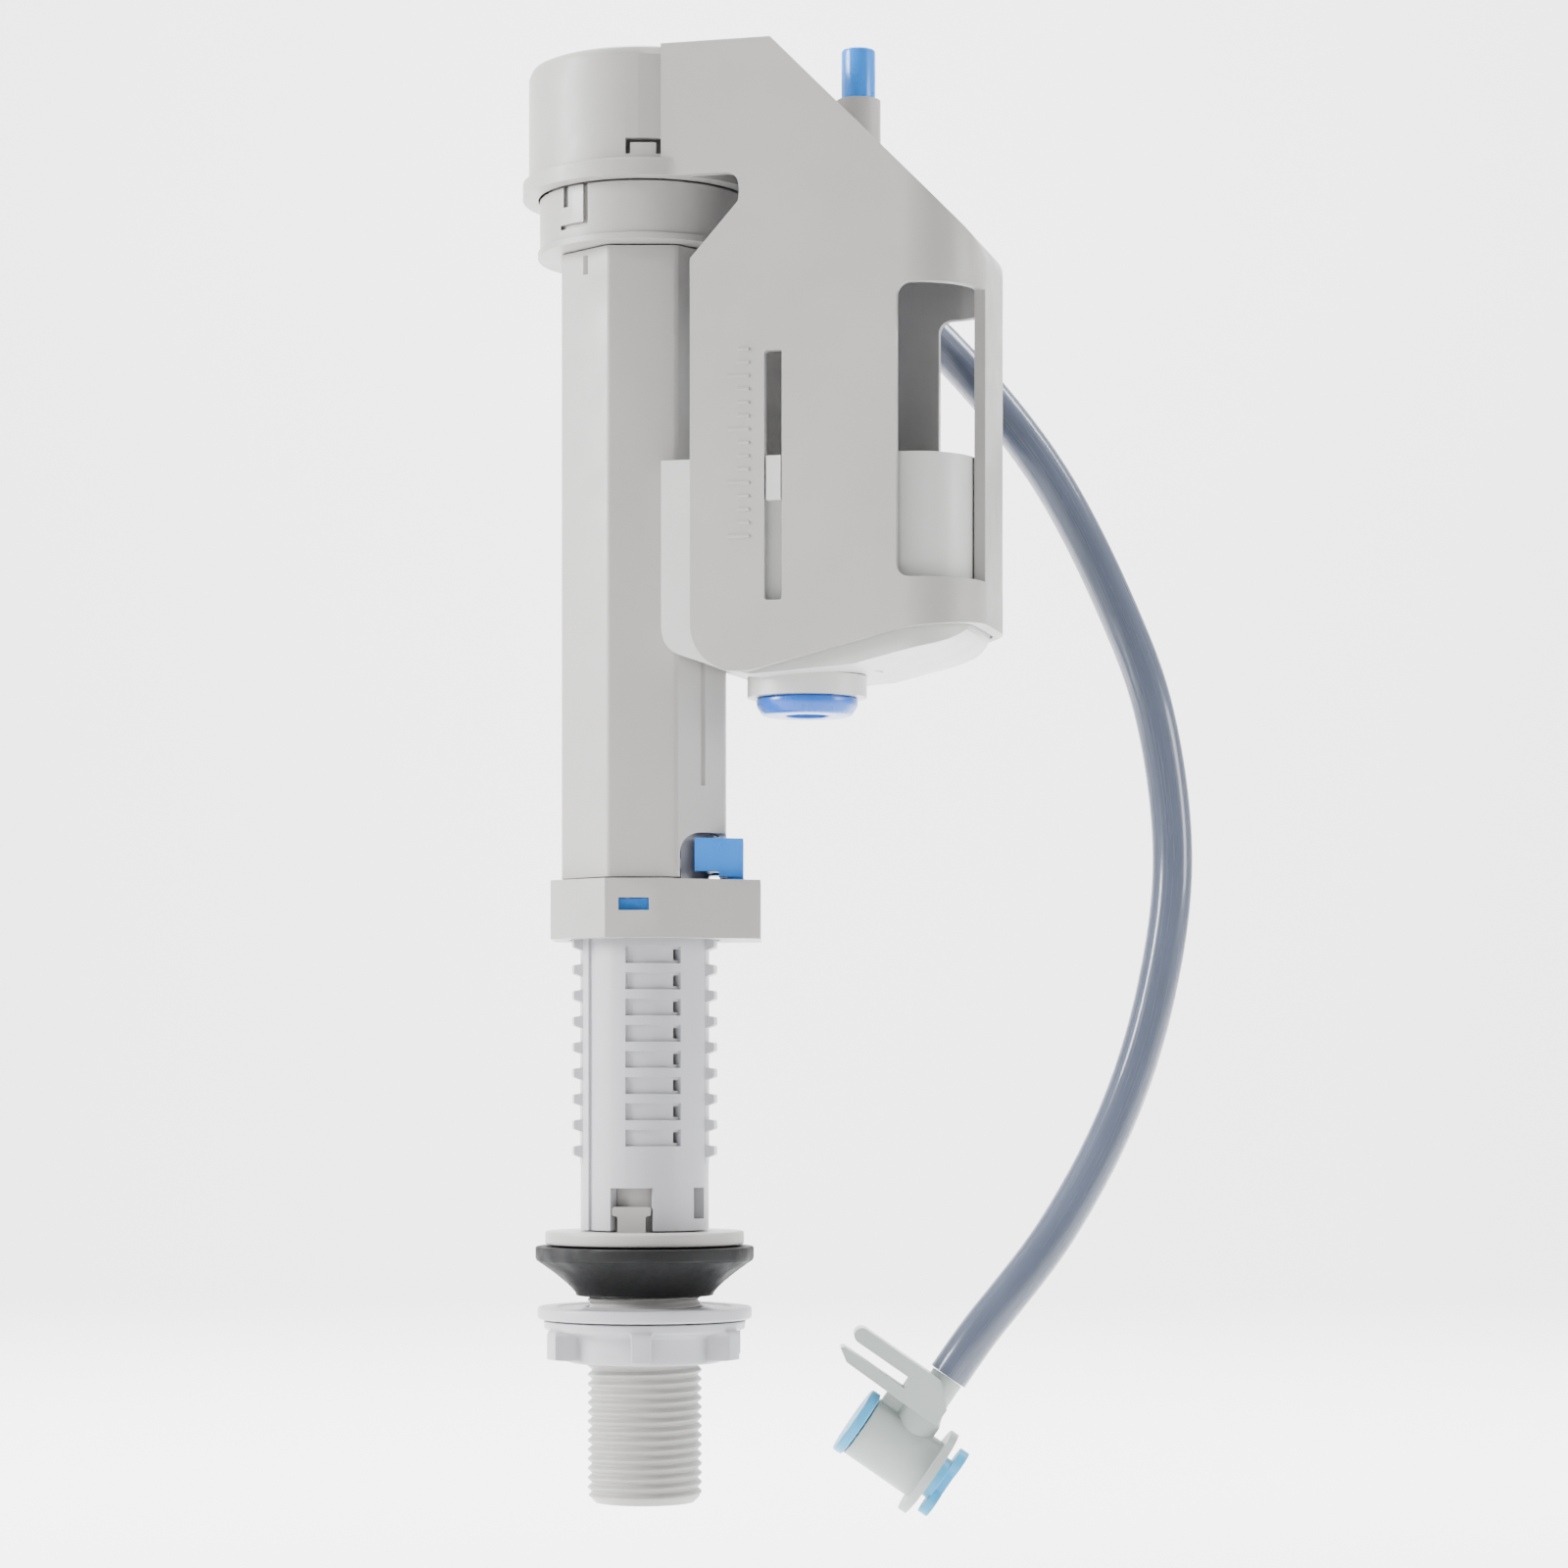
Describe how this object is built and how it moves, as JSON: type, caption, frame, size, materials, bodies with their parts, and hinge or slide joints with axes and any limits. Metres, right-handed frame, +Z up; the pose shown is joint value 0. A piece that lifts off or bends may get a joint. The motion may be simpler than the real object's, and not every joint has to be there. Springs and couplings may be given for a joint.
{
  "type": "toilet fill valve",
  "caption": "Telescoping toilet tank fill valve with float housing, toothed riser, cone washer, threaded shank, refill hose and overflow clip",
  "frame": {"origin": "on the shank's axis, in the plane of the tank floor, where the cone washer's foot rests", "axes": "+Z up along the shank and riser, +X from the riser towards the float housing, the side with the scale slot that the picture shows is -Y"},
  "size_m": [0.1254, 0.0623, 0.2815],
  "materials": {
    "body_white": "satin moulded",
    "riser_white": "satin moulded",
    "float_white": "satin moulded",
    "clip_white": "satin moulded",
    "blue": "glossy moulded",
    "deep_blue": "glossy moulded",
    "pale_blue": "glossy moulded",
    "rubber": "matt",
    "hose": "glossy extruded"
  },
  "bodies": {
    "riser": {"shank_base": "body_white", "tank_washer": "rubber", "riser_sleeve": "riser_white"},
    "nut_plate": {"friction_washer": "riser_white"},
    "nut": {"lock_nut": "riser_white"},
    "head": {"outer_tube": "body_white", "lock_collar": "body_white", "head_body": "body_white", "down_pipe": "riser_white", "pipe_seal": "rubber", "diaphragm": "rubber", "valve_bonnet": "blue", "refill_hose": "hose", "clip_body": "clip_white", "clip_plug": "pale_blue"},
    "latch": {"lock_latch": "blue"},
    "cap": {"cap_housing": "body_white", "lever_pin": "float_white"},
    "lever": {"lever_arm": "body_white", "pilot_seal": "rubber"},
    "link": {"lift_link": "float_white"},
    "level_knob": {"level_screw": "blue"},
    "float": {"float_cup": "float_white", "check_valve_ring": "deep_blue"},
    "flap": {"check_disc": "rubber"},
    "adjuster": {"flow_adjuster": "pale_blue"}
  },
  "joints": [
    {"name": "nut_travel", "type": "slide", "parent": "riser", "child": "nut_plate", "axis": [0, 0, -1], "range_m": [-0.0018, 0.027]},
    {"name": "nut_spin", "type": "hinge", "parent": "nut_plate", "child": "nut", "pos_m": [0, 0, -0.009], "axis": [0, 0, -1], "range_deg": [-360, 5360]},
    {"name": "height_slide", "type": "slide", "parent": "riser", "child": "head", "axis": [0, 0, 1], "range_m": [-0.04, 0.045]},
    {"name": "latch_press", "type": "hinge", "parent": "head", "child": "latch", "pos_m": [0.01747, 0.00435, 0.0782], "axis": [0.2419, -0.9703, 0], "range_deg": [0, 8], "stiffness_Nm_per_rad": 0.05, "springref_deg": -5.73},
    {"name": "cap_twist", "type": "hinge", "parent": "head", "child": "cap", "pos_m": [0, 0, 0.22], "axis": [0, 0, -1], "range_deg": [0, 30]},
    {"name": "float_lift", "type": "slide", "parent": "cap", "child": "link", "axis": [0, 0, 1], "range_m": [0, 0.002]},
    {"name": "lever_tilt", "type": "hinge", "parent": "cap", "child": "lever", "pos_m": [0.027, 0, 0.217], "axis": [0, -1, 0], "range_deg": [0, 7.5]},
    {"name": "level_set", "type": "slide", "parent": "link", "child": "float", "axis": [0, 0, 1], "range_m": [-0.016, 0.014]},
    {"name": "level_turn", "type": "hinge", "parent": "link", "child": "level_knob", "pos_m": [0.0425, 0, 0.2], "axis": [0, 0, -1], "range_deg": [-1925, 1685]},
    {"name": "check_flap", "type": "slide", "parent": "float", "child": "flap", "axis": [0, 0, 1], "range_m": [0, 0.003]},
    {"name": "flow_adjust", "type": "hinge", "parent": "head", "child": "adjuster", "pos_m": [0.04745, 0.01183, -0.03], "axis": [0.7968, 0.1987, -0.5707], "range_deg": [0, 90]}
  ],
  "couplings": [
    {"joint": "nut_spin", "follows": "nut_travel", "rad_per_m": 3463.2},
    {"joint": "lever_tilt", "follows": "float_lift", "rad_per_m": 64.5},
    {"joint": "level_turn", "follows": "level_set", "rad_per_m": 2094.4}
  ]
}
